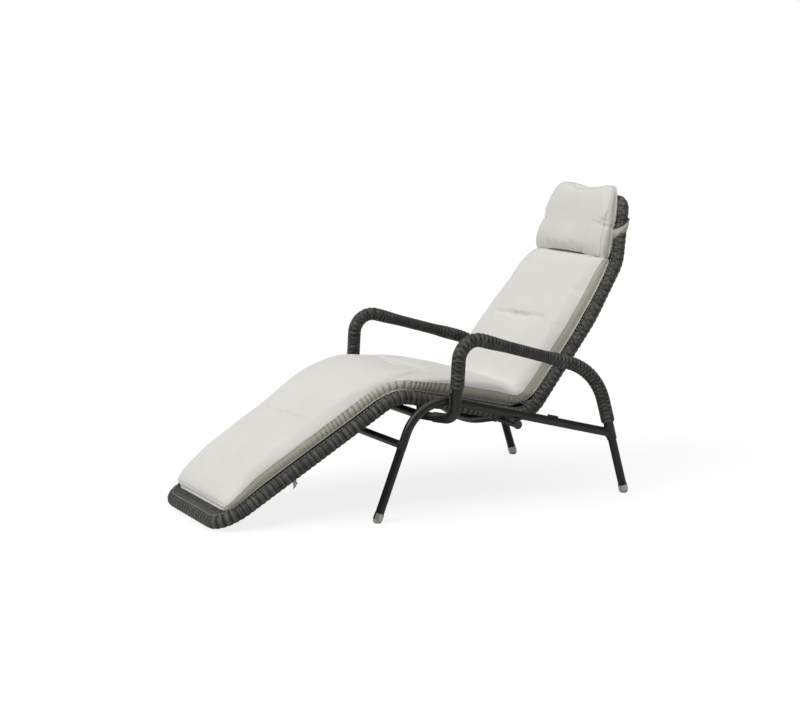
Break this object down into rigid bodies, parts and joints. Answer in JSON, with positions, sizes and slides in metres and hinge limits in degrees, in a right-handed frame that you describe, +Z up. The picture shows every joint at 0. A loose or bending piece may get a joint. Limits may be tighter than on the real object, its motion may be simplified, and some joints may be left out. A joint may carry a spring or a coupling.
{
  "type": "sun chair",
  "caption": "Free-standing reclining sun chair with a bent tube base, woven armrests and a woven shell that tilts, topped by a long cushion and head pillow.",
  "frame": {"origin": "on the floor, under the middle of the bounding box", "axes": "+Z up; +Y from the foot end to the head; +X on the sitter's left"},
  "size_m": [0.749, 1.493, 0.9834],
  "materials": {
    "frame": "satin",
    "weave": "satin",
    "hardware": "satin",
    "glides": "matte",
    "bushings": "matte",
    "rubber": "matte",
    "caps": "gloss",
    "cushion_cloth": "matte"
  },
  "bodies": {
    "base": {"side_rail_left": "frame", "side_rail_right": "frame", "front_leg_left": "frame", "front_leg_right": "frame", "arm_tube_left": "frame", "arm_tube_right": "frame", "arm_weave_left": "weave", "arm_weave_right": "weave", "rear_leg_left": "frame", "rear_leg_right": "frame", "pivot_housing_left": "frame", "pivot_housing_right": "frame", "front_cross_tube": "frame", "low_crossbar": "frame", "foot_ferrules": "hardware", "foot_glides": "glides", "pivot_bushings": "bushings", "cross_tube_buffers": "rubber", "rail_pads": "rubber"},
    "shell": {"shell_tube_left": "frame", "shell_tube_right": "frame", "leg_cross_bar": "frame", "knee_cross_bar": "frame", "lumbar_cross_bar": "frame", "back_cross_bar": "frame", "axle_tube": "frame", "axle_web": "frame", "axle_collars": "frame", "axle_end_caps": "caps", "edge_weave_left": "weave", "edge_weave_right": "weave", "edge_weave_foot": "weave", "edge_weave_head": "weave", "leg_skin": "weave", "seat_skin": "weave", "back_skin": "weave", "long_cushion": "cushion_cloth", "head_pillow": "cushion_cloth", "cushion_ties": "cushion_cloth", "pillow_strap": "cushion_cloth"}
  },
  "joints": [
    {"name": "shell_tilt", "type": "hinge", "parent": "base", "child": "shell", "pos_m": [0, 0.2235, 0.2618], "axis": [-1, 0, 0], "range_deg": [0, 20]}
  ]
}
